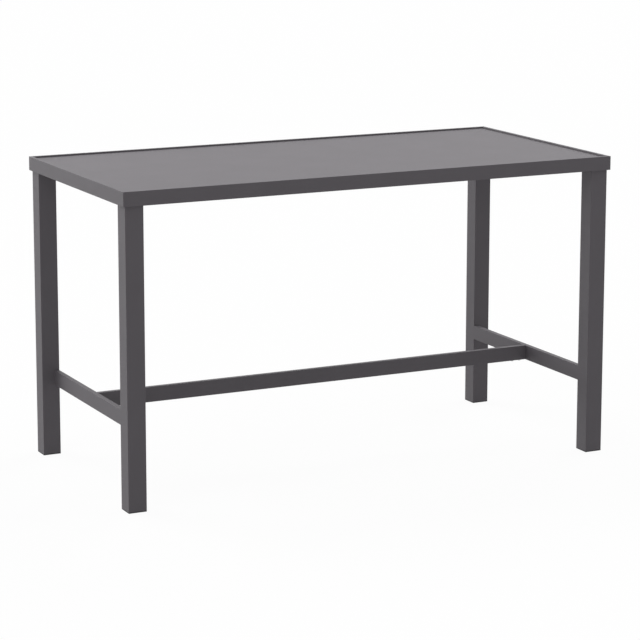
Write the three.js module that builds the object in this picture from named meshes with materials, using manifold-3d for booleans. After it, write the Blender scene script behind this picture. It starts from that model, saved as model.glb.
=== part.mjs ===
// Standing meeting table: a rimmed top on four square legs, tied by an H-shaped base.
// Millimetres, +Z up. The origin is on the floor under the middle of the table,
// with +X along the table to the right and +Y towards its back.
import * as THREE from "three";
import { mergeVertices } from "three/addons/utils/BufferGeometryUtils.js";
import Module from "manifold-3d";

const wasm = await Module();
wasm.setup();

// Whole table
const tableLength = 1810;
const tableWidth = 874;
const tableHeight = 1050;

// Gap between faces that rest on each other
const seatGap = 0.3;

// Corner radius inside every tube
const boreRound = 0.5;

// Top frame: mitred hollow rails with a raised rim round the panel
const railHeight = 48;
const railWidth = 40;
const railWall = 2.5;
const rimWidth = 11;
const rimRecess = 5.5;
const railEdgeRound = 1;
const cleatReach = 90;
const cleatWall = 6;
const cleatClearance = 0.4;

// Panel and the tubes that carry its middle
const panelThickness = 4;
const panelClearance = 0.5;
const bearerNames = ["left", "middle", "right"];
const bearerWidth = 30;
const bearerHeight = 28;
const bearerWall = 2;
const bearerRound = 3;

// Legs
const legSide = 63;
const legInset = 8.5;
const legWall = 2;
const legRound = 1.5;

// Flange on each leg's top, bolted to a gusset in the frame's corner
const flangeThickness = 5;
const wingReach = 55;
const wingEdge = 35;
const gussetThickness = 6;
const gussetReach = 120;
const gussetEdge = 45;
const boltRadius = 4;
const boltClearance = 0.3;
const boltHeadRadius = 7;
const boltHeadHeight = 4.4;
const boltProtrusion = 4;
const boltReach = 34;
const boltEdge = 24;
const boltDiagonal = 18;

// Stretchers of the H-shaped base
const stretcherTop = 301;
const stretcherHeight = 52;
const stretcherThickness = 18;
const stretcherWall = 1.5;
const stretcherRound = 1;
const spigotLength = 70;
const spigotClearance = 0.4;
const screwRadius = 3;
const screwClearance = 0.3;
const screwHeadRadius = 5.5;
const screwHeadHeight = 3.2;
const screwDepth = 14;
const screwPitch = 30;

// Levelling feet
const footTravel = 12;
const plugFlange = 3;
const plugDepth = 30;
const plugClearance = 0.4;
const padRadius = 17;
const padHeight = 5;
const padChamfer = 1;
const padClearance = 0.8;
const socketDepth = 3;
const socketClearance = 0.3;
const studRadius = 4;
const studClearance = 0.3;
const studNutAcrossFlats = 13;
const studNutHeight = 5;

// Facets on round shapes
const cornerFacets = 2;
const roundFacets = 16;

// Levels and places that follow from the sizes above
const frameBottom = tableHeight - railHeight;
const ledgeHeight = railHeight - rimRecess - panelThickness - seatGap;
const ledgeLevel = frameBottom + ledgeHeight;
const legInner = legInset + legSide;
const legCentre = legInset + legSide / 2;
const flangeLevel = frameBottom - seatGap - flangeThickness;
const legTop = flangeLevel - seatGap;
const legBottom = plugFlange + seatGap;
const wingEnd = legInner + wingReach;
const stretcherBottom = stretcherTop - stretcherHeight;
const endStretcherPlace = tableLength / 2 - legInner + stretcherThickness / 2;
const longStretcherLength = tableLength - 2 * (legInner + seatGap);
const endStretcherLength = tableWidth - 2 * (legInner + seatGap);
const studNutLevel = padHeight + seatGap;
const pocketDepth = studNutLevel + studNutHeight + seatGap;
const plugHeight = plugFlange + plugDepth;
const studTop = plugHeight + footTravel + seatGap;
const boltPlaces = [
  [legInner + boltReach, railWidth + boltEdge],
  [railWidth + boltEdge, legInner + boltReach],
  [legInner + boltDiagonal, legInner + boltDiagonal],
];
const screwPlaces = [-screwPitch / 2, screwPitch / 2];

const coat = new THREE.MeshStandardMaterial({ color: "#676368", roughness: 0.6, metalness: 0.1 });
const steel = new THREE.MeshStandardMaterial({ color: "#a3a5a8", roughness: 0.35, metalness: 0.9 });
const rawPlate = new THREE.MeshStandardMaterial({ color: "#6d6f73", roughness: 0.5, metalness: 0.7 });
const plastic = new THREE.MeshStandardMaterial({ color: "#2b2a2c", roughness: 0.7, metalness: 0 });

// Adds a named piece to a group.
function addPiece(group, name, geometry, material, x = 0, y = 0, z = 0) {
  const mesh = new THREE.Mesh(geometry, material);
  mesh.name = name;
  mesh.position.set(x, y, z);
  group.add(mesh);
}

// A closed geometry as a solid that can be joined and cut.
function toSolid(geometry) {
  const bare = geometry.clone();
  bare.deleteAttribute("normal");
  bare.deleteAttribute("uv");
  const merged = mergeVertices(bare);
  const vertProperties = new Float32Array(merged.attributes.position.array);
  const triVerts = new Uint32Array(merged.index.array);
  return new wasm.Manifold(new wasm.Mesh({ numProp: 3, vertProperties, triVerts }));
}

// A solid back as a geometry.
function toGeometry(solid) {
  const mesh = solid.getMesh();
  const geometry = new THREE.BufferGeometry();
  geometry.setAttribute("position", new THREE.BufferAttribute(mesh.vertProperties, mesh.numProp));
  geometry.setIndex(new THREE.BufferAttribute(mesh.triVerts, 1));
  geometry.computeVertexNormals();
  return geometry;
}

// A closed path through straight-sided points.
function addOutline(path, points) {
  const [first, ...rest] = points;
  path.moveTo(...first);
  rest.forEach((point) => path.lineTo(...point));
  path.closePath();
  return path;
}

// A rectangle about the origin with rounded corners, drawn anticlockwise.
function addRoundedRectangle(path, width, height, radius) {
  const x = width / 2 - radius;
  const y = height / 2 - radius;
  const quarter = Math.PI / 2;
  path.moveTo(x, -y - radius);
  path.absarc(x, -y, radius, -quarter, 0);
  path.absarc(x, y, radius, 0, quarter);
  path.absarc(-x, y, radius, quarter, 2 * quarter);
  path.absarc(-x, -y, radius, 2 * quarter, 3 * quarter);
  path.closePath();
  return path;
}

function roundedRectangle(width, height, radius) {
  return addRoundedRectangle(new THREE.Shape(), width, height, radius);
}

function extrude(shape, depth, curveSegments = cornerFacets) {
  return new THREE.ExtrudeGeometry(shape, { depth, curveSegments, bevelEnabled: false });
}

// A plate with round holes through it.
function drilledPlate(shape, places, radius, thickness) {
  places.forEach(([x, y]) => {
    shape.holes.push(new THREE.Path().absarc(x, y, radius, 0, 2 * Math.PI));
  });
  return extrude(shape, thickness, roundFacets / 2);
}

// A rectangular tube with rounded corners, from z = 0 upwards.
function tube(width, height, radius, wall, length) {
  const shape = roundedRectangle(width, height, radius);
  const bore = new THREE.Path();
  addRoundedRectangle(bore, width - 2 * wall, height - 2 * wall, boreRound);
  shape.holes.push(bore);
  return extrude(shape, length);
}

// An upright cylinder from one level to another; six facets make a hexagon.
function upright(radius, bottom, top, facets = roundFacets) {
  const geometry = new THREE.CylinderGeometry(radius, radius, top - bottom, facets);
  return geometry.rotateX(Math.PI / 2).translate(0, 0, (bottom + top) / 2);
}

function hexagon(acrossFlats, bottom, top) {
  return upright(acrossFlats / Math.sqrt(3), bottom, top, 6);
}

// A profile of radius and height points turned about Z.
function turned(points) {
  const profile = points.map(([radius, height]) => new THREE.Vector2(radius, height));
  return new THREE.LatheGeometry(profile, roundFacets).rotateX(Math.PI / 2);
}

// The rail's section: how far in from the outer face, and how far up from the underside.
function railSection() {
  const r = railEdgeRound;
  const quarter = Math.PI / 2;
  const shape = new THREE.Shape();
  shape.moveTo(r, 0);
  shape.lineTo(railWidth, 0);
  shape.lineTo(railWidth, ledgeHeight);
  shape.lineTo(rimWidth, ledgeHeight);
  shape.absarc(rimWidth - r, railHeight - r, r, 0, quarter);
  shape.absarc(r, railHeight - r, r, quarter, 2 * quarter);
  shape.absarc(r, r, r, 2 * quarter, 3 * quarter);
  shape.closePath();
  const hollow = addOutline(new THREE.Path(), [
    [railWall, railWall],
    [railWidth - railWall, railWall],
    [railWidth - railWall, ledgeHeight - railWall],
    [rimWidth - railWall, ledgeHeight - railWall],
    [rimWidth - railWall, railHeight - railWall],
    [railWall, railHeight - railWall],
  ]);
  shape.holes.push(hollow);
  return shape;
}

// A rail along +X from the frame's corner, with both ends cut at 45 degrees.
function mitredRail(span) {
  const geometry = extrude(railSection(), span);
  const position = geometry.attributes.position;
  const trim = seatGap / Math.SQRT2;
  for (let i = 0; i < position.count; i += 1) {
    const inward = position.getX(i) + trim;
    const atStart = position.getZ(i) < span / 2;
    position.setZ(i, atStart ? inward : span - inward);
  }
  const inwards = new THREE.Vector3(0, 1, 0);
  const up = new THREE.Vector3(0, 0, 1);
  const along = new THREE.Vector3(1, 0, 0);
  return geometry.applyMatrix4(new THREE.Matrix4().makeBasis(inwards, up, along));
}

// An angle key that fills the lower hollow of two rails at their mitre.
function cornerCleat() {
  const outer = railWall + cleatClearance;
  const inner = railWidth - outer;
  const shape = addOutline(new THREE.Shape(), [
    [outer, outer],
    [cleatReach, outer],
    [cleatReach, inner],
    [inner, inner],
    [inner, cleatReach],
    [outer, cleatReach],
  ]);
  const near = inner + cleatWall;
  const far = cleatReach - cleatWall;
  const low = outer + cleatWall;
  const high = inner - cleatWall;
  const armAlongX = [[near, low], [far, low], [far, high], [near, high]];
  const armAlongY = armAlongX.map(([x, y]) => [y, x]);
  shape.holes.push(addOutline(new THREE.Path(), armAlongX));
  shape.holes.push(addOutline(new THREE.Path(), armAlongY));
  return extrude(shape, ledgeHeight - 2 * outer);
}

// A tapped plate in the frame's inner corner.
function cornerGusset() {
  const near = railWidth + seatGap;
  const far = railWidth + gussetReach;
  const shape = addOutline(new THREE.Shape(), [
    [near, near],
    [far, near],
    [far, near + gussetEdge],
    [near + gussetEdge, far],
    [near, far],
  ]);
  return drilledPlate(shape, boltPlaces, boltRadius + boltClearance, gussetThickness);
}

// The plate on a leg's top: the leg's own square, and a wing towards the table's inside.
function legFlange() {
  const r = legRound;
  const quarter = Math.PI / 2;
  const wing = railWidth;
  const shape = new THREE.Shape();
  shape.moveTo(legInset + r, legInset);
  shape.absarc(legInner - r, legInset + r, r, -quarter, 0);
  shape.lineTo(legInner, wing);
  shape.lineTo(wingEnd, wing);
  shape.lineTo(wingEnd, wing + wingEdge);
  shape.lineTo(wing + wingEdge, wingEnd);
  shape.lineTo(wing, wingEnd);
  shape.lineTo(wing, legInner);
  shape.absarc(legInset + r, legInner - r, r, quarter, 2 * quarter);
  shape.absarc(legInset + r, legInset + r, r, 2 * quarter, 3 * quarter);
  shape.closePath();
  return drilledPlate(shape, boltPlaces, boltRadius + boltClearance, flangeThickness);
}

// A button-head screw, head down, with z = 0 at the face that its head bears on.
function buttonScrew(radius, headRadius, headHeight, length) {
  const crown = headHeight / 3;
  return turned([
    [0, -seatGap - headHeight],
    [headRadius - crown, -seatGap - headHeight],
    [headRadius, -seatGap - headHeight + crown],
    [headRadius, -seatGap],
    [radius, -seatGap],
    [radius, length],
    [0, length],
  ]);
}

function legBolt() {
  const length = flangeThickness + seatGap + gussetThickness + boltProtrusion;
  return buttonScrew(boltRadius, boltHeadRadius, boltHeadHeight, length);
}

// The plug in a leg's lower end, with a pocket for the pad and a bore for the stud.
function footPlug() {
  const insertSide = legSide - 2 * (legWall + plugClearance);
  const flange = toSolid(extrude(roundedRectangle(legSide, legSide, legRound), plugFlange));
  const insert = toSolid(extrude(roundedRectangle(insertSide, insertSide, boreRound), plugHeight));
  const pocket = toSolid(upright(padRadius + padClearance, -plugFlange, pocketDepth));
  const bore = toSolid(upright(studRadius + studClearance, 0, plugHeight + plugFlange));
  return toGeometry(flange.add(insert).subtract(pocket).subtract(bore));
}

// The round pad, with a socket on top for the stud's end.
function footPad() {
  const socketRadius = studRadius + socketClearance;
  const socketFloor = padHeight - socketDepth;
  return turned([
    [0, 0],
    [padRadius - padChamfer, 0],
    [padRadius, padChamfer],
    [padRadius, padHeight - padChamfer],
    [padRadius - padChamfer, padHeight],
    [socketRadius, padHeight],
    [socketRadius, socketFloor],
    [0, socketFloor],
  ]);
}

// The levelling stud, with a hexagon collar that a spanner turns.
function footStud() {
  const shankBottom = padHeight - socketDepth + seatGap;
  const shank = toSolid(upright(studRadius, shankBottom, studTop));
  const nut = toSolid(hexagon(studNutAcrossFlats, studNutLevel, studNutLevel + studNutHeight));
  return toGeometry(shank.add(nut));
}

// The long stretcher along X, with screw holes in its underside at both ends.
function longStretcher(screwColumns) {
  const length = longStretcherLength;
  const bar = tube(stretcherHeight, stretcherThickness, stretcherRound, stretcherWall, length);
  bar.rotateY(Math.PI / 2).translate(-length / 2, 0, 0);
  const holeRadius = screwRadius + screwClearance;
  const holeBottom = -stretcherHeight / 2 - stretcherWall;
  const holeTop = -stretcherHeight / 2 + 2 * stretcherWall;
  const drilled = screwColumns.reduce((solid, x) => {
    const hole = upright(holeRadius, holeBottom, holeTop).translate(x, 0, 0);
    return solid.subtract(toSolid(hole));
  }, toSolid(bar));
  return toGeometry(drilled);
}

// A block that fills the long stretcher's end, with tapped holes for its screws.
function spigot() {
  const fit = 2 * (stretcherWall + spigotClearance);
  const halfLength = spigotLength / 2;
  const halfThickness = (stretcherThickness - fit) / 2;
  const shape = addOutline(new THREE.Shape(), [
    [-halfLength, -halfThickness],
    [halfLength, -halfThickness],
    [halfLength, halfThickness],
    [-halfLength, halfThickness],
  ]);
  const places = screwPlaces.map((x) => [x, 0]);
  return drilledPlate(shape, places, screwRadius + screwClearance, stretcherHeight - fit);
}

function spigotScrew() {
  return buttonScrew(screwRadius, screwHeadRadius, screwHeadHeight, screwDepth);
}

const table = new THREE.Group();

// Corners in order round the table. In a corner's own frame the origin is the frame's outer
// corner on the floor, and +X and +Y run inwards along its two edges; its rail runs along +X.
const corners = [
  { name: "fl", x: -1, y: -1, rail: "front", span: tableLength },
  { name: "fr", x: 1, y: -1, rail: "right", span: tableWidth },
  { name: "br", x: 1, y: 1, rail: "back", span: tableLength },
  { name: "bl", x: -1, y: 1, rail: "left", span: tableWidth },
];

corners.forEach(({ name, x, y, rail, span }, quarterTurns) => {
  const corner = new THREE.Group();
  corner.position.set((x * tableLength) / 2, (y * tableWidth) / 2, 0);
  corner.rotation.z = (quarterTurns * Math.PI) / 2;
  table.add(corner);

  const cleatLevel = frameBottom + railWall + cleatClearance;
  const leg = tube(legSide, legSide, legRound, legWall, legTop - legBottom);
  addPiece(corner, `rail_${rail}`, mitredRail(span), coat, 0, 0, frameBottom);
  addPiece(corner, `corner_cleat_${name}`, cornerCleat(), rawPlate, 0, 0, cleatLevel);
  addPiece(corner, `corner_gusset_${name}`, cornerGusset(), coat, 0, 0, frameBottom);
  addPiece(corner, `leg_${name}`, leg, coat, legCentre, legCentre, legBottom);
  addPiece(corner, `leg_flange_${name}`, legFlange(), coat, 0, 0, flangeLevel);
  boltPlaces.forEach(([boltX, boltY], i) => {
    addPiece(corner, `leg_bolt_${name}_${i + 1}`, legBolt(), steel, boltX, boltY, flangeLevel);
  });
  addPiece(corner, `foot_plug_${name}`, footPlug(), plastic, legCentre, legCentre, 0);
  addPiece(corner, `foot_pad_${name}`, footPad(), plastic, legCentre, legCentre, 0);
  addPiece(corner, `foot_stud_${name}`, footStud(), steel, legCentre, legCentre, 0);
});

// Panel and its bearers
const panelLength = tableLength - 2 * (rimWidth + panelClearance);
const panelWidth = tableWidth - 2 * (rimWidth + panelClearance);
const panel = new THREE.BoxGeometry(panelLength, panelWidth, panelThickness);
addPiece(table, "top_panel", panel, coat, 0, 0, tableHeight - rimRecess - panelThickness / 2);

const bearerLength = tableWidth - 2 * (railWidth + seatGap);
const bearerPitch = tableLength / (bearerNames.length + 1);
bearerNames.forEach((name, i) => {
  const bearer = tube(bearerWidth, bearerHeight, bearerRound, bearerWall, bearerLength);
  bearer.rotateX(-Math.PI / 2).translate(0, -bearerLength / 2, 0);
  const x = (i - (bearerNames.length - 1) / 2) * bearerPitch;
  addPiece(table, `panel_bearer_${name}`, bearer, coat, x, 0, ledgeLevel - bearerHeight / 2);
});

// H-shaped base
const stretcherMiddle = stretcherTop - stretcherHeight / 2;
const spigotCentre = longStretcherLength / 2 - spigotLength / 2;
const spigotLevel = stretcherBottom + stretcherWall + spigotClearance;
const ends = [
  { name: "left", side: -1 },
  { name: "right", side: 1 },
];
const screwColumns = ends.flatMap(({ side }) => screwPlaces.map((x) => side * spigotCentre + x));
addPiece(table, "long_stretcher", longStretcher(screwColumns), coat, 0, 0, stretcherMiddle);
ends.forEach(({ name, side }) => {
  const bar = tube(stretcherThickness, stretcherHeight, stretcherRound, stretcherWall, endStretcherLength);
  bar.rotateX(-Math.PI / 2).translate(0, -endStretcherLength / 2, 0);
  addPiece(table, `end_stretcher_${name}`, bar, coat, side * endStretcherPlace, 0, stretcherMiddle);
  addPiece(table, `spigot_${name}`, spigot(), rawPlate, side * spigotCentre, 0, spigotLevel);
  screwPlaces.forEach((x, i) => {
    const screwX = side * spigotCentre + x;
    addPiece(table, `spigot_screw_${name}_${i + 1}`, spigotScrew(), steel, screwX, 0, stretcherBottom);
  });
});

export default table;
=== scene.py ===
import math

import bmesh
import bpy
from mathutils import Matrix, Vector


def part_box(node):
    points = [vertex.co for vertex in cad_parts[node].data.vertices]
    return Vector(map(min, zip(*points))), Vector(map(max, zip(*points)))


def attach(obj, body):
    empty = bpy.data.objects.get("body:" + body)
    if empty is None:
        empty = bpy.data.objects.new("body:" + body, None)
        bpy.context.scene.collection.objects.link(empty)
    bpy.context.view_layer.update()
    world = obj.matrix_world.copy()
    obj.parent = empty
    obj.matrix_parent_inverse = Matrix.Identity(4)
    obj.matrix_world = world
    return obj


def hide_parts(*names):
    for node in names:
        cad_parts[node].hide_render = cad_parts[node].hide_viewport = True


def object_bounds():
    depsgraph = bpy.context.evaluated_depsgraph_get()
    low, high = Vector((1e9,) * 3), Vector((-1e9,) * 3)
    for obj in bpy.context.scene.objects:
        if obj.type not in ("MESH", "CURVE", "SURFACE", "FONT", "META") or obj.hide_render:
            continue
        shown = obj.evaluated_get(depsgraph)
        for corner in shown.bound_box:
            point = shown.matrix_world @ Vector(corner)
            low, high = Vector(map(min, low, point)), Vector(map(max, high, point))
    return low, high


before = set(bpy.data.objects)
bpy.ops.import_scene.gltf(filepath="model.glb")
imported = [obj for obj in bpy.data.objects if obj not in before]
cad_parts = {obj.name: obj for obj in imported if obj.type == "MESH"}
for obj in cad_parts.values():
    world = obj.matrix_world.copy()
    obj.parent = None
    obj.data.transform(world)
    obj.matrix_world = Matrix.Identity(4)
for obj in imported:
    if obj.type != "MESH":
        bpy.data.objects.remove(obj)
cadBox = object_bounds()
mm = 0.001
tableLow, tableHigh = cadBox
cornerNames = ["fl", "fr", "br", "bl"]  # in order round the table, a quarter turn apart
print("frame loaded:", len(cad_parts), "nodes")

# Materials

def startMaterial(name, **sockets):
    material = bpy.data.materials.new(name)
    material.use_nodes = True
    shader = material.node_tree.nodes["Principled BSDF"]
    for socket, value in sockets.items():
        shader.inputs[socket.replace("_", " ")].default_value = value
    return material, shader


def addNode(material, kind, inputs=None, **settings):
    node = material.node_tree.nodes.new(kind)
    for name, value in settings.items():
        setattr(node, name, value)
    for name, value in (inputs or {}).items():
        if isinstance(value, bpy.types.NodeSocket):
            material.node_tree.links.new(value, node.inputs[name])
        else:
            node.inputs[name].default_value = value
    return node


def addNoise(material, scale, detail=2.0, stretch=(1, 1, 1)):
    place = addNode(material, "ShaderNodeTexCoord")
    mapping = addNode(material, "ShaderNodeMapping", {"Vector": place.outputs["Object"], "Scale": stretch})
    inputs = {"Vector": mapping.outputs["Vector"], "Scale": scale, "Detail": detail}
    return addNode(material, "ShaderNodeTexNoise", inputs).outputs["Fac"]


noiseSpan = (0.3, 0.7)  # nearly all of a noise's values lie between these


def addBlend(material, factor, first, second):
    ramp = addNode(material, "ShaderNodeValToRGB", {"Fac": factor})
    for stop, position, colour in zip(ramp.color_ramp.elements, noiseSpan, (first, second)):
        stop.position = position
        stop.color = (*colour, 1)
    return ramp.outputs["Color"]


def addSpread(material, factor, low, high):
    inputs = {"Value": factor, "From Min": noiseSpan[0], "From Max": noiseSpan[1],
              "To Min": low, "To Max": high}
    return addNode(material, "ShaderNodeMapRange", inputs).outputs["Result"]


def addBump(material, shader, height, strength, depth):
    inputs = {"Height": height, "Strength": strength, "Distance": depth}
    bump = addNode(material, "ShaderNodeBump", inputs)
    material.node_tree.links.new(bump.outputs["Normal"], shader.inputs["Normal"])


def connect(material, source, shader, socket):
    material.node_tree.links.new(source, shader.inputs[socket])


coat = {
    "dark": (0.131, 0.121, 0.133),  # the coat's tone drifts a little between these two
    "light": (0.139, 0.128, 0.141),
    "cloudScale": 9,  # broad drift, about a hand's width
    "grainScale": 2600,  # powder grain, under half a millimetre
    "rough": (0.52, 0.62),
    "specular": 0.35,
    "bump": 0.35,
    "grainDepth": 0.03 * mm,
}


def powderCoat():
    material, shader = startMaterial("powder_coat", Metallic=0.0, Specular_IOR_Level=coat["specular"])
    cloud = addNoise(material, coat["cloudScale"], detail=4)
    grain = addNoise(material, coat["grainScale"], detail=3)
    connect(material, addBlend(material, cloud, coat["dark"], coat["light"]), shader, "Base Color")
    connect(material, addSpread(material, grain, *coat["rough"]), shader, "Roughness")
    addBump(material, shader, grain, coat["bump"], coat["grainDepth"])
    return material


moulded = {
    "dark": (0.010, 0.0098, 0.0104),
    "light": (0.016, 0.0155, 0.0165),
    "grainScale": 1500,
    "rough": (0.5, 0.66),
    "specular": 0.45,
    "bump": 0.4,
    "grainDepth": 0.04 * mm,
}


def mouldedPlastic():
    material, shader = startMaterial("moulded_plastic", Metallic=0.0, Specular_IOR_Level=moulded["specular"])
    grain = addNoise(material, moulded["grainScale"], detail=3)
    connect(material, addBlend(material, grain, moulded["dark"], moulded["light"]), shader, "Base Color")
    connect(material, addSpread(material, grain, *moulded["rough"]), shader, "Roughness")
    addBump(material, shader, grain, moulded["bump"], moulded["grainDepth"])
    return material


zinc = {
    "dark": (0.44, 0.445, 0.46),
    "light": (0.56, 0.565, 0.575),
    "patchScale": 320,  # dull patches a few millimetres wide
    "grainScale": 3000,
    "rough": (0.32, 0.46),
    "bump": 0.3,
    "grainDepth": 0.012 * mm,
}


def zincPlate():
    material, shader = startMaterial("zinc_plate", Metallic=1.0)
    patch = addNoise(material, zinc["patchScale"], detail=4)
    grain = addNoise(material, zinc["grainScale"], detail=2)
    connect(material, addBlend(material, patch, zinc["dark"], zinc["light"]), shader, "Base Color")
    connect(material, addSpread(material, patch, *zinc["rough"]), shader, "Roughness")
    addBump(material, shader, grain, zinc["bump"], zinc["grainDepth"])
    return material


sawnMetal = {
    "dark": (0.50, 0.505, 0.51),
    "light": (0.64, 0.645, 0.65),
    "lineScale": 900,
    "lineStretch": (0.05, 0.05, 1),  # saw lines run round the piece
    "rough": (0.38, 0.55),
    "bump": 0.4,
    "lineDepth": 0.03 * mm,
}


def rawAluminium():
    material, shader = startMaterial("raw_aluminium", Metallic=1.0)
    line = addNoise(material, sawnMetal["lineScale"], detail=3, stretch=sawnMetal["lineStretch"])
    connect(material, addBlend(material, line, sawnMetal["dark"], sawnMetal["light"]), shader, "Base Color")
    connect(material, addSpread(material, line, *sawnMetal["rough"]), shader, "Roughness")
    addBump(material, shader, line, sawnMetal["bump"], sawnMetal["lineDepth"])
    return material


finishes = {
    "coated_metal": powderCoat(),
    "black_plastic": mouldedPlastic(),
    "plated_steel": zincPlate(),
    "bare_metal": rawAluminium(),
}
print("materials made:", ", ".join(finishes))

# Shared modelling steps

ringSides = 32
hexSides = 6
cornerSteps = 8
sharpAngle = math.radians(40)
convexAngle = 0.5  # radians
cutReach = 1e-7
mergeReach = 1e-6
sameLevel = 0.01 * mm
bridgeLift = 10 * mm


def vertsOf(made):
    return [part for part in made["geom"] if isinstance(part, bmesh.types.BMVert)]


def everything(bm):
    return bm.verts[:] + bm.edges[:] + bm.faces[:]


def edgesAt(verts):
    return list(dict.fromkeys(edge for vert in verts for edge in vert.link_edges))


def vertsAlong(edges):
    return list(dict.fromkeys(vert for edge in edges for vert in edge.verts))


def soften(bm, edges, offset, segments):
    bmesh.ops.bevel(bm, geom=edges, offset=offset, offset_type="OFFSET", segments=segments, profile=0.5,
                    affect="EDGES", material=-1, clamp_overlap=True)


def convexEdges(bm):
    return [edge for edge in bm.edges if edge.is_manifold and edge.calc_face_angle_signed() > convexAngle]


def addRing(bm, radius, level, sides=ringSides):
    place = Matrix.Translation((0, 0, level))
    made = bmesh.ops.create_circle(bm, cap_ends=False, radius=radius, segments=sides, matrix=place)
    return edgesAt(made["verts"])


def addRoundedRing(bm, width, depth, radius, level):
    size = Matrix.Translation((0, 0, level)) @ Matrix.Diagonal((width, depth, 1, 1))
    corners = bmesh.ops.create_grid(bm, x_segments=1, y_segments=1, size=0.5, matrix=size)["verts"]
    bmesh.ops.delete(bm, geom=corners[0].link_faces[:], context="FACES_ONLY")
    made = bmesh.ops.bevel(bm, geom=corners, offset=radius, segments=cornerSteps, profile=0.5,
                           affect="VERTICES", material=-1)
    return edgesAt(made["verts"])


def centreOf(loop):
    verts = vertsAlong(loop)
    return sum((vert.co for vert in verts), Vector()) / len(verts)


def bridge(bm, loops, closed=False, axis=Vector((0, 0, 1))):
    # loops on one level are drawn apart while they are joined, because a flat bridge may twist
    pairs = list(zip(loops, loops[1:]))
    if closed:
        pairs.append((loops[-1], loops[0]))
    for first, second in pairs:
        level = abs((centreOf(second) - centreOf(first)).dot(axis)) < sameLevel
        lift = axis * bridgeLift if level else Vector()
        verts = vertsAlong(second)
        bmesh.ops.translate(bm, vec=lift, verts=verts)
        bmesh.ops.bridge_loops(bm, edges=first + second)
        bmesh.ops.translate(bm, vec=-lift, verts=verts)


def cap(bm, loop):
    bmesh.ops.edgeloop_fill(bm, edges=loop)


def faceOutwards(bm):
    bmesh.ops.recalc_face_normals(bm, faces=bm.faces[:])
    if bm.calc_volume(signed=True) < 0:
        bmesh.ops.reverse_faces(bm, faces=bm.faces[:])


def makePiece(bm, node, slot, body="table"):
    faceOutwards(bm)
    for face in bm.faces:
        face.smooth = True
    for edge in bm.edges:
        edge.smooth = edge.calc_face_angle(0) < sharpAngle
    mesh = bpy.data.meshes.new(node + "_finished")
    bm.to_mesh(mesh)
    bm.free()
    mesh.materials.append(finishes[slot])
    piece = bpy.data.objects.new(node + "_finished", mesh)
    bpy.context.scene.collection.objects.link(piece)
    normals = piece.modifiers.new("flat_faces_stay_flat", "WEIGHTED_NORMAL")
    normals.keep_sharp = True
    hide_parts(node)
    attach(piece, body)


def cornerPlace(index):
    sideX = (-1, 1, 1, -1)[index]
    sideY = (-1, -1, 1, 1)[index]
    origin = Vector((sideX * tableHigh.x, sideY * tableHigh.y, 0))
    return Matrix.Translation(origin) @ Matrix.Rotation(index * math.pi / 2, 4, "Z")


# Top frame

rail = {
    "wall": 2.5 * mm,
    "edgeRound": 1 * mm,
    "boreRound": 0.3 * mm,
    "roundSteps": 4,
    "stepCorner": 3,  # the one corner of the section that turns inwards, under the panel's edge
    "panelGap": 0.5 * mm,
    "mitreGap": 0.12 * mm,
}


def mitrePlace(out, along, end):
    # takes a section, drawn as distances in and levels, to one mitred end of a rail
    halfSpan = abs(along.dot(tableHigh)) - rail["mitreGap"] / math.sqrt(2)
    corner = out * abs(out.dot(tableHigh)) + along * end * halfSpan
    return Matrix((*zip(-out - along * end, (0, 0, 1), along, corner), (0, 0, 0, 1)))


def sectionRing(bm, section, radius, place):
    verts = [bm.verts.new((*point, 0)) for point in section]
    for pair in zip(verts, verts[1:] + verts[:1]):
        bm.edges.new(pair)
    rounded = [vert for vert in verts if vert != verts[rail["stepCorner"]]]
    made = bmesh.ops.bevel(bm, geom=rounded, offset=radius, segments=rail["roundSteps"], profile=0.5,
                           affect="VERTICES", material=-1)
    ring = edgesAt(made["verts"])
    bmesh.ops.transform(bm, matrix=place, verts=vertsAlong(ring))
    return ring


def makeRails():
    railLow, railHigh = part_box("rail_front")
    width = railHigh.y - railLow.y
    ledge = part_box("panel_bearer_middle")[1].z
    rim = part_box("top_panel")[0].x - tableLow.x - rail["panelGap"]
    wall = rail["wall"]
    low, high = railLow.z, railHigh.z
    outside = [(0, low), (width, low), (width, ledge), (rim, ledge), (rim, high), (0, high)]
    inside = [(wall, low + wall), (width - wall, low + wall), (width - wall, ledge - wall),
              (rim - wall, ledge - wall), (rim - wall, high - wall), (wall, high - wall)]
    for name, side in (("front", (0, -1)), ("right", (1, 0)), ("back", (0, 1)), ("left", (-1, 0))):
        out = Vector((*side, 0))
        along = Vector((-out.y, out.x, 0))
        bm = bmesh.new()
        ends = []
        for end in (-1, 1):
            place = mitrePlace(out, along, end)
            rings = [sectionRing(bm, outside, rail["edgeRound"], place),
                     sectionRing(bm, inside, rail["boreRound"], place)]
            bridge(bm, rings, axis=(along * end - out).normalized())
            ends.append(rings)
        for rings in zip(*ends):
            bridge(bm, rings, axis=along)
        makePiece(bm, "rail_" + name, "coated_metal")


makeRails()
print("rails made")

# Panel

panel = {
    "edgeRound": 0.6 * mm,
    "edgeSteps": 3,
}


def makePanel():
    low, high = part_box("top_panel")
    bm = bmesh.new()
    place = Matrix.Translation((low + high) / 2) @ Matrix.Diagonal((*(high - low), 1))
    bmesh.ops.create_cube(bm, size=1, matrix=place)
    soften(bm, bm.edges[:], panel["edgeRound"], panel["edgeSteps"])
    makePiece(bm, "top_panel", "coated_metal")


makePanel()
print("panel made")

# Tubes: legs, stretchers and the bearers under the panel

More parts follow.
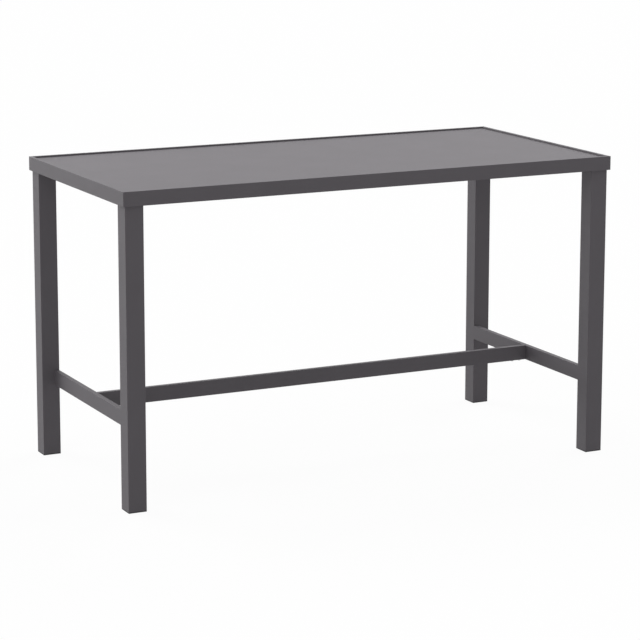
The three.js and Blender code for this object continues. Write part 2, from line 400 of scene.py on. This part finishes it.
tubes = {
    "leg": {"round": 1.5 * mm, "wall": 2 * mm, "axis": "Z"},
    "end_stretcher": {"round": 1 * mm, "wall": 1.5 * mm, "axis": "Y"},
    "long_stretcher": {"round": 1 * mm, "wall": 1.5 * mm, "axis": "X"},
    "panel_bearer": {"round": 3 * mm, "wall": 2 * mm, "axis": "Y"},
    "boreRound": 0.5 * mm,
    "endRound": 0.25 * mm,
    "endSteps": 2,
    "weldReach": 0.27 * mm,  # welded ends close the CAD's gap, all but a hair
    "screwHole": 3.3 * mm,
    "screwPatch": 16 * mm,
}
layAlong = {
    "Z": Matrix.Identity(4),
    "Y": Matrix.Rotation(-math.pi / 2, 4, "X"),
    "X": Matrix.Rotation(math.pi / 2, 4, "Y"),
}


def roundedTube(node, kind):
    size = tubes[kind]
    low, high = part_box(node)
    turn = layAlong[size["axis"]]
    span = turn.inverted().to_3x3() @ (high - low)
    bm = bmesh.new()
    width, depth, half = abs(span.x), abs(span.y), abs(span.z) / 2
    bore = (width - 2 * size["wall"], depth - 2 * size["wall"], tubes["boreRound"])
    loops = [addRoundedRing(bm, width, depth, size["round"], level) for level in (-half, half)]
    loops += [addRoundedRing(bm, *bore, level) for level in (half, -half)]
    bridge(bm, loops, closed=True)
    faceOutwards(bm)
    ends = [edge for edge in convexEdges(bm) if abs(edge.verts[0].co.z - edge.verts[1].co.z) < size["wall"]]
    soften(bm, ends, tubes["endRound"], tubes["endSteps"])
    bmesh.ops.transform(bm, matrix=Matrix.Translation((low + high) / 2) @ turn, verts=bm.verts[:])
    return bm


def weldLegTop(bm, node):
    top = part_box(node)[1].z - tubes["endRound"] / 2
    rim = [vert for vert in bm.verts if vert.co.z > top]
    bmesh.ops.translate(bm, vec=(0, 0, tubes["weldReach"]), verts=rim)


def weldStretcherEnds(bm, node):
    # each end reaches round the rounded inner corner of its leg
    low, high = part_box(node)
    inner = min(low.x, high.x, key=abs)
    legRound = tubes["leg"]["round"]
    for vert in bm.verts:
        short = max(0, legRound - abs(vert.co.x - inner))
        reach = legRound - math.sqrt(legRound ** 2 - short ** 2) + tubes["weldReach"]
        vert.co.y += math.copysign(reach, vert.co.y)


def drillUnderside(bm, node, wall):
    # each hole gets a square patch of the lower wall, which then closes round the hole
    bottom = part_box(node)[0].z
    patch = tubes["screwPatch"] / 2
    for screw in ("left_1", "left_2", "right_1", "right_2"):
        low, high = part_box("spigot_screw_" + screw)
        centre = (low + high) / 2
        for side in (-patch, patch):
            bmesh.ops.bisect_plane(bm, geom=everything(bm), dist=cutReach, plane_co=(centre.x + side, 0, 0),
                                   plane_no=(1, 0, 0))
        rings = []
        for level in (bottom, bottom + wall):
            middle = Vector((centre.x, centre.y, level))
            face = min(bm.faces, key=lambda face: (face.calc_center_median() - middle).length)
            edges = face.edges[:]
            bmesh.ops.delete(bm, geom=[face], context="FACES_ONLY")
            ring = addRing(bm, tubes["screwHole"], level)
            bmesh.ops.translate(bm, vec=(centre.x, centre.y, 0), verts=vertsAlong(ring))
            bridge(bm, [edges, ring])
            rings.append(ring)
        bridge(bm, rings)


def makeTubes():
    for corner in cornerNames:
        bm = roundedTube("leg_" + corner, "leg")
        weldLegTop(bm, "leg_" + corner)
        makePiece(bm, "leg_" + corner, "coated_metal")
    for side in ("left", "right"):
        bm = roundedTube("end_stretcher_" + side, "end_stretcher")
        weldStretcherEnds(bm, "end_stretcher_" + side)
        makePiece(bm, "end_stretcher_" + side, "coated_metal")
    for side in ("left", "middle", "right"):
        bm = roundedTube("panel_bearer_" + side, "panel_bearer")
        makePiece(bm, "panel_bearer_" + side, "coated_metal")
    bm = roundedTube("long_stretcher", "long_stretcher")
    drillUnderside(bm, "long_stretcher", tubes["long_stretcher"]["wall"])
    makePiece(bm, "long_stretcher", "coated_metal")


makeTubes()
print("legs, stretchers and bearers made")

# Flanges on the leg tops, and the gussets that take their bolts

plate = {
    "boltHole": 4.3 * mm,
    "wingEdge": 35 * mm,
    "gussetEdge": 45 * mm,
    "edgeRound": 0.5 * mm,
    "edgeSteps": 2,
}


def inCorner(node, index):
    # a node's box, as distances in from the frame's corner
    back = cornerPlace(index).inverted()
    ends = [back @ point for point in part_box(node)]
    low = Vector(min(a, b) for a, b in zip(*ends))
    high = Vector(max(a, b) for a, b in zip(*ends))
    return low, high


def drilledPlate(index, corner, outline, low, high):
    bm = bmesh.new()
    verts = [bm.verts.new((x, y, low)) for x, y in outline]
    edges = [bm.edges.new(pair) for pair in zip(verts, verts[1:] + verts[:1])]
    for number in (1, 2, 3):
        boltLow, boltHigh = inCorner(f"leg_bolt_{corner}_{number}", index)
        ring = addRing(bm, plate["boltHole"], low)
        centre = (boltLow + boltHigh) / 2
        bmesh.ops.translate(bm, vec=(centre.x, centre.y, 0), verts=vertsAlong(ring))
        edges += ring
    filled = bmesh.ops.triangle_fill(bm, use_beauty=True, edges=edges)
    faces = [part for part in filled["geom"] if isinstance(part, bmesh.types.BMFace)]
    raised = bmesh.ops.extrude_face_region(bm, geom=faces, use_keep_orig=True)
    bmesh.ops.translate(bm, vec=(0, 0, high - low), verts=vertsOf(raised))
    faceOutwards(bm)
    return bm


def makeFlange(index, corner):
    legLow, legHigh = inCorner("leg_" + corner, index)
    low, high = inCorner("leg_flange_" + corner, index)
    wing = inCorner("corner_gusset_" + corner, index)[0].x
    edge = wing + plate["wingEdge"]
    near, far = legLow.x, legHigh.x
    outline = [(near, near), (far, near), (far, wing), (high.x, wing), (high.x, edge), (edge, high.x),
               (wing, high.x), (wing, far), (near, far)]
    bm = drilledPlate(index, corner, outline, low.z, high.z)
    posts = [e for e in bm.edges if abs(e.verts[0].co.z - e.verts[1].co.z) > (high.z - low.z) / 2]
    legCorners = [Vector(point) for point in ((near, near), (far, near), (near, far))]
    posts = [e for e in posts if min((e.verts[0].co.xy - point).length for point in legCorners) < mm]
    soften(bm, posts, tubes["leg"]["round"], cornerSteps)
    wingEdges = [e for e in convexEdges(bm) if max((e.verts[0].co + e.verts[1].co).xy / 2) > far]
    soften(bm, wingEdges, plate["edgeRound"], plate["edgeSteps"])
    bmesh.ops.transform(bm, matrix=cornerPlace(index), verts=bm.verts[:])
    makePiece(bm, "leg_flange_" + corner, "coated_metal")


def makeGusset(index, corner):
    low, high = inCorner("corner_gusset_" + corner, index)
    near, far = low.x, high.x
    edge = near + plate["gussetEdge"]
    outline = [(near, near), (far, near), (far, edge), (edge, far), (near, far)]
    bm = drilledPlate(index, corner, outline, low.z, high.z)
    soften(bm, convexEdges(bm), plate["edgeRound"], plate["edgeSteps"])
    bmesh.ops.transform(bm, matrix=cornerPlace(index), verts=bm.verts[:])
    makePiece(bm, "corner_gusset_" + corner, "coated_metal")


for index, corner in enumerate(cornerNames):
    makeFlange(index, corner)
    makeGusset(index, corner)
print("flanges and gussets made")

# Threads, bolts and screws

thread = {
    "sides": 24,
    "depth": 0.54,  # of the pitch
    "profile": [(0, 0), (0, 0.25), (1, 0.5625), (1, 0.6875), (0, 1)],  # shares of the depth and of the pitch
    "leadIn": 0.4 * mm,
    "chamfer": 0.6 * mm,
    "tipStep": 0.3 * mm,
}


def threadRoot(radius, pitch):
    return radius - thread["depth"] * pitch


def addThread(bm, radius, pitch, bottom, top):
    # one turn of the profile climbs a pitch as it spins, then both ends are cut square
    root = threadRoot(radius, pitch)
    start = bottom - pitch
    old = set(bm.verts)
    points = [(root + (radius - root) * out, 0, start + pitch * rise) for out, rise in thread["profile"]]
    verts = [bm.verts.new(point) for point in points]
    edges = [bm.edges.new(pair) for pair in zip(verts, verts[1:])]
    turns = math.ceil((top - start) / pitch) + 1
    bmesh.ops.spin(bm, geom=verts + edges, cent=(0, 0, 0), axis=(0, 0, 1),
                   dvec=(0, 0, pitch / thread["sides"]), angle=2 * math.pi * turns,
                   steps=thread["sides"] * turns)
    made = [vert for vert in bm.verts if vert not in old]
    bmesh.ops.remove_doubles(bm, verts=made, dist=mergeReach)
    for level, facing in ((bottom, -1), (top, 1)):
        part = [vert for vert in bm.verts if vert not in old]
        faces = list(dict.fromkeys(face for vert in part for face in vert.link_faces))
        bmesh.ops.bisect_plane(bm, geom=part + edgesAt(part) + faces, dist=cutReach, clear_outer=True,
                               plane_co=(0, 0, level), plane_no=(0, 0, facing))
    ends = [edge for edge in bm.edges if edge.is_boundary and not old.intersection(edge.verts)]
    middle = (bottom + top) / 2
    lower = [edge for edge in ends if edge.verts[0].co.z < middle]
    upper = [edge for edge in ends if edge.verts[0].co.z > middle]
    return lower, upper


fasteners = {
    "leg_bolt": {
        "radius": 4 * mm, "pitch": 1.25 * mm, "head": 7 * mm, "headHeight": 4.4 * mm, "socket": 5 * mm,
    },
    "spigot_screw": {
        "radius": 3 * mm, "pitch": 1 * mm, "head": 5.5 * mm, "headHeight": 3.2 * mm, "socket": 4 * mm,
    },
    "domeSteps": 6,
    "domeShare": 0.7,  # of the head's height
    "faceShare": 0.62,  # flat round the socket, of the head's radius
    "socketShare": 0.55,  # of the head's height
    "neck": 1 * mm,
}


def makeFastener(node, kind):
    size = fasteners[kind]
    low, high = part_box(node)
    length = high.z - low.z
    radius, pitch, head, height = size["radius"], size["pitch"], size["head"], size["headHeight"]
    bm = bmesh.new()
    hexRadius = size["socket"] / math.sqrt(3)
    floor = addRing(bm, hexRadius, height * fasteners["socketShare"], hexSides)
    lip = addRing(bm, hexRadius, 0, hexSides)
    cap(bm, floor)
    face = head * fasteners["faceShare"]
    skirt = height * fasteners["domeShare"]
    dome = []
    for step in range(fasteners["domeSteps"] + 1):
        angle = step / fasteners["domeSteps"] * math.pi / 2
        dome.append(addRing(bm, face + (head - face) * math.sin(angle), skirt * (1 - math.cos(angle))))
    seat = addRing(bm, head, height)
    under = addRing(bm, radius, height)
    neckEnd = height + fasteners["neck"]
    neck = addRing(bm, radius, neckEnd)
    bottom, top = addThread(bm, radius, pitch, neckEnd + thread["leadIn"], length - thread["chamfer"])
    tip = addRing(bm, threadRoot(radius, pitch) - thread["tipStep"], length)
    bridge(bm, [floor, lip, *dome, seat, under, neck, bottom])
    bridge(bm, [top, tip])
    cap(bm, tip)
    centre = (low + high) / 2
    bmesh.ops.translate(bm, vec=(centre.x, centre.y, low.z), verts=bm.verts[:])
    makePiece(bm, node, "plated_steel")


for corner in cornerNames:
    for number in (1, 2, 3):
        makeFastener(f"leg_bolt_{corner}_{number}", "leg_bolt")
for side in ("left", "right"):
    for number in (1, 2):
        makeFastener(f"spigot_screw_{side}_{number}", "spigot_screw")
print("bolts and screws made")

# Levelling feet

plug = {
    "flange": 3 * mm,
    "insertInset": 2.4 * mm,
    "insertRound": 0.5 * mm,
    "taper": 1.6 * mm,
    "lip": 0.4 * mm,
    "pocket": 17.8 * mm,
    "pocketDepth": 10.6 * mm,
    "bore": 4.3 * mm,
}


def makePlug(corner):
    low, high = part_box("foot_plug_" + corner)
    top = high.z
    side = high.x - low.x
    insert = side - 2 * plug["insertInset"]
    lip = plug["lip"]
    legRound = tubes["leg"]["round"]
    bm = bmesh.new()
    loops = [
        addRing(bm, plug["pocket"], 0),
        addRing(bm, plug["pocket"], plug["pocketDepth"]),
        addRing(bm, plug["bore"], plug["pocketDepth"]),
        addRing(bm, plug["bore"], top),
        addRoundedRing(bm, insert - 2 * lip, insert - 2 * lip, plug["insertRound"], top),
        addRoundedRing(bm, insert, insert, plug["insertRound"], top - plug["taper"]),
        addRoundedRing(bm, insert, insert, plug["insertRound"], plug["flange"]),
        addRoundedRing(bm, side, side, legRound, plug["flange"]),
        addRoundedRing(bm, side, side, legRound, lip),
        addRoundedRing(bm, side - 2 * lip, side - 2 * lip, legRound - lip, 0),
    ]
    bridge(bm, loops, closed=True)
    centre = (low + high) / 2
    bmesh.ops.translate(bm, vec=(centre.x, centre.y, low.z), verts=bm.verts[:])
    makePiece(bm, "foot_plug_" + corner, "black_plastic")


pad = {
    "chamfer": 1 * mm,
    "socket": 4.3 * mm,
    "socketDepth": 3 * mm,
    "groove": 0.5 * mm,
    # shares of the radius, or of the height, and of the groove's depth
    "tread": [(0, 1), (0.45, 1), (0.5, 0), (0.68, 0), (0.72, 1), (0.78, 1), (0.82, 0)],
    "waist": [(0.4, 0), (0.46, 1), (0.56, 1), (0.62, 0)],
    "sides": 48,
}


def makePad(corner):
    low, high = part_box("foot_pad_" + corner)
    radius = (high.x - low.x) / 2
    height = high.z - low.z
    chamfer, groove, socket = pad["chamfer"], pad["groove"], pad["socket"]
    floor = height - pad["socketDepth"]
    profile = [(radius * share, groove * depth) for share, depth in pad["tread"]]
    profile += [(radius - chamfer, 0), (radius, chamfer)]
    profile += [(radius - groove * depth, height * share) for share, depth in pad["waist"]]
    profile += [(radius, height - chamfer), (radius - chamfer, height)]
    profile += [(socket + groove, height), (socket, height - groove), (socket, floor), (0, floor)]
    bm = bmesh.new()
    verts = [bm.verts.new((x, 0, z)) for x, z in profile]
    edges = [bm.edges.new(pair) for pair in zip(verts, verts[1:])]
    bmesh.ops.spin(bm, geom=verts + edges, cent=(0, 0, 0), axis=(0, 0, 1), dvec=(0, 0, 0),
                   angle=2 * math.pi, steps=pad["sides"], use_merge=True)
    bmesh.ops.remove_doubles(bm, verts=bm.verts[:], dist=mergeReach)
    centre = (low + high) / 2
    bmesh.ops.translate(bm, vec=(centre.x, centre.y, low.z), verts=bm.verts[:])
    makePiece(bm, "foot_pad_" + corner, "black_plastic", "pad_" + corner)


stud = {
    "radius": 4 * mm,
    "pitch": 1.25 * mm,
    "nutAcrossFlats": 13 * mm,
    "nutLow": 5.3 * mm,
    "nutHigh": 10.3 * mm,
    "nutChamfer": 0.6 * mm,
    "nutRing": 24,  # sides of the round faces above and below the hexagon
}


def makeStud(corner):
    low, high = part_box("foot_stud_" + corner)
    radius, pitch = stud["radius"], stud["pitch"]
    nutLow, nutHigh, nutChamfer = stud["nutLow"], stud["nutHigh"], stud["nutChamfer"]
    hexRadius = stud["nutAcrossFlats"] / math.sqrt(3)
    flatRadius = stud["nutAcrossFlats"] / 2 - nutChamfer / 2
    chamfer = thread["chamfer"]
    bm = bmesh.new()
    tip = addRing(bm, radius - chamfer, low.z)
    loops = [
        tip,
        addRing(bm, radius, low.z + chamfer),
        addRing(bm, radius, nutLow),
        addRing(bm, flatRadius, nutLow, stud["nutRing"]),
        addRing(bm, hexRadius, nutLow + nutChamfer, hexSides),
        addRing(bm, hexRadius, nutHigh - nutChamfer, hexSides),
        addRing(bm, flatRadius, nutHigh, stud["nutRing"]),
    ]
    bottom, top = addThread(bm, radius, pitch, nutHigh + thread["leadIn"], high.z - chamfer)
    point = addRing(bm, threadRoot(radius, pitch) - thread["tipStep"], high.z)
    under = addRing(bm, threadRoot(radius, pitch), nutHigh)
    bridge(bm, [*loops, under, bottom])
    bridge(bm, [top, point])
    cap(bm, tip)
    cap(bm, point)
    centre = (low + high) / 2
    bmesh.ops.translate(bm, vec=(centre.x, centre.y, 0), verts=bm.verts[:])
    makePiece(bm, "foot_stud_" + corner, "plated_steel", "stud_" + corner)


for corner in cornerNames:
    makePlug(corner)
    makePad(corner)
    makeStud(corner)
print("levelling feet made")

# Hidden cleats and spigots keep their own shape and get a sawn metal finish

for name in [*("corner_cleat_" + corner for corner in cornerNames), "spigot_left", "spigot_right"]:
    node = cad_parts[name]
    node.data.materials.clear()
    node.data.materials.append(finishes["bare_metal"])
print("hidden blocks finished")

# Floor, light and camera

white = (1, 1, 1, 1)
studio = {
    "floorReach": 60,
    "floorSides": 64,
    "floorDrop": 0.2 * mm,
    "floorBounce": (0.42, 0.42, 0.42),  # what the floor throws back on the table
    "floorGlow": 0.95,  # share of the floor's own white as the camera sees it
    "ambient": 0.25,
    "lampSpread": 30,  # degrees
}
lamps = {  # azimuth 0 is in front of the table and -90 on its left; a level of 1 lights a facing wall fully
    "backLow": {"azimuth": 180, "elevation": 5, "level": 0.218},
    "backLeftHigh": {"azimuth": -150, "elevation": 50, "level": 0.291},
    "backLeftLow": {"azimuth": -150, "elevation": 5, "level": 0.214},
    "leftHigh": {"azimuth": -60, "elevation": 50, "level": 0.109},
    "frontLeftLow": {"azimuth": -30, "elevation": 5, "level": 0.117},
    "rightHigh": {"azimuth": 90, "elevation": 50, "level": 0.19},
    "backRight": {"azimuth": 120, "elevation": 25, "level": 0.311},
}


def direction(azimuth, elevation):
    azimuth, elevation = math.radians(azimuth), math.radians(elevation)
    flat = math.cos(elevation)
    return Vector((math.sin(azimuth) * flat, -math.cos(azimuth) * flat, math.sin(elevation)))


def seenDirectly(tree):
    path = tree.nodes.new("ShaderNodeLightPath")
    total = path.outputs["Is Camera Ray"]
    for kind in ("Is Glossy Ray", "Is Transmission Ray"):
        most = tree.nodes.new("ShaderNodeMath")
        most.operation = "MAXIMUM"
        tree.links.new(total, most.inputs[0])
        tree.links.new(path.outputs[kind], most.inputs[1])
        total = most.outputs["Value"]
    return total


def joinShaders(tree, first, second):
    mixed = tree.nodes.new("ShaderNodeMixShader")
    tree.links.new(first.outputs[0], mixed.inputs[1])
    tree.links.new(second.outputs[0], mixed.inputs[2])
    return mixed


def makeFloor():
    bm = bmesh.new()
    bmesh.ops.create_circle(bm, cap_ends=True, radius=studio["floorReach"],
                            segments=studio["floorSides"])
    bmesh.ops.translate(bm, vec=(0, 0, -studio["floorDrop"]), verts=bm.verts[:])
    mesh = bpy.data.meshes.new("studio_floor")
    bm.to_mesh(mesh)
    bm.free()
    floor = bpy.data.objects.new("studio_floor", mesh)
    bpy.context.scene.collection.objects.link(floor)
    material = bpy.data.materials.new("floor_white")
    material.use_nodes = True
    tree = material.node_tree
    tree.nodes.clear()
    output = tree.nodes.new("ShaderNodeOutputMaterial")
    bounce = tree.nodes.new("ShaderNodeBsdfDiffuse")
    bounce.inputs["Color"].default_value = (*studio["floorBounce"], 1)
    paper = tree.nodes.new("ShaderNodeBsdfDiffuse")
    paper.inputs["Color"].default_value = white
    glow = tree.nodes.new("ShaderNodeEmission")
    glow.inputs["Strength"].default_value = 1
    shown = joinShaders(tree, paper, glow)
    shown.inputs["Fac"].default_value = studio["floorGlow"]
    mixed = joinShaders(tree, bounce, shown)
    tree.links.new(seenDirectly(tree), mixed.inputs["Fac"])
    tree.links.new(mixed.outputs["Shader"], output.inputs["Surface"])
    mesh.materials.append(material)


def makeSky():
    world = bpy.data.worlds.new("studio_sky")
    bpy.context.scene.world = world
    world.use_nodes = True
    tree = world.node_tree
    tree.nodes.clear()
    output = tree.nodes.new("ShaderNodeOutputWorld")
    light = tree.nodes.new("ShaderNodeBackground")
    light.inputs["Strength"].default_value = studio["ambient"]
    light.inputs["Color"].default_value = white
    shown = tree.nodes.new("ShaderNodeBackground")
    shown.inputs["Strength"].default_value = 1
    shown.inputs["Color"].default_value = white
    mixed = joinShaders(tree, light, shown)
    tree.links.new(seenDirectly(tree), mixed.inputs["Fac"])
    tree.links.new(mixed.outputs["Shader"], output.inputs["Surface"])


def makeLamps():
    for name, lamp in lamps.items():
        light = bpy.data.lights.new(name, "SUN")
        light.angle = math.radians(studio["lampSpread"])
        light.energy = lamp["level"] * math.pi
        source = bpy.data.objects.new(name, light)
        towards = direction(lamp["azimuth"], lamp["elevation"])
        source.rotation_euler = towards.to_track_quat("Z", "Y").to_euler()
        bpy.context.scene.collection.objects.link(source)


shot = {
    "aim": (0, 0.1363, 0.7339),
    "distance": 8.6269,
    "azimuth": -25.9388,
    "elevation": 10.1988,
    "lens": 137.591,
    "shift": (0.0271, -0.1250),
    "sensor": 36,
    "clipEnd": 200,
}


def makeCamera():
    lens = bpy.data.cameras.new("camera")
    lens.lens = shot["lens"]
    lens.sensor_width = shot["sensor"]
    lens.shift_x, lens.shift_y = shot["shift"]
    lens.clip_end = shot["clipEnd"]
    camera = bpy.data.objects.new("camera", lens)
    camera.location = Vector(shot["aim"]) + direction(shot["azimuth"], shot["elevation"]) * shot["distance"]
    camera.rotation_euler = (math.radians(90 - shot["elevation"]), 0, math.radians(shot["azimuth"]))
    bpy.context.scene.collection.objects.link(camera)
    bpy.context.scene.camera = camera


makeFloor()
makeSky()
makeLamps()
makeCamera()
bpy.context.scene.view_settings.view_transform = "Standard"
print("floor, light and camera made")
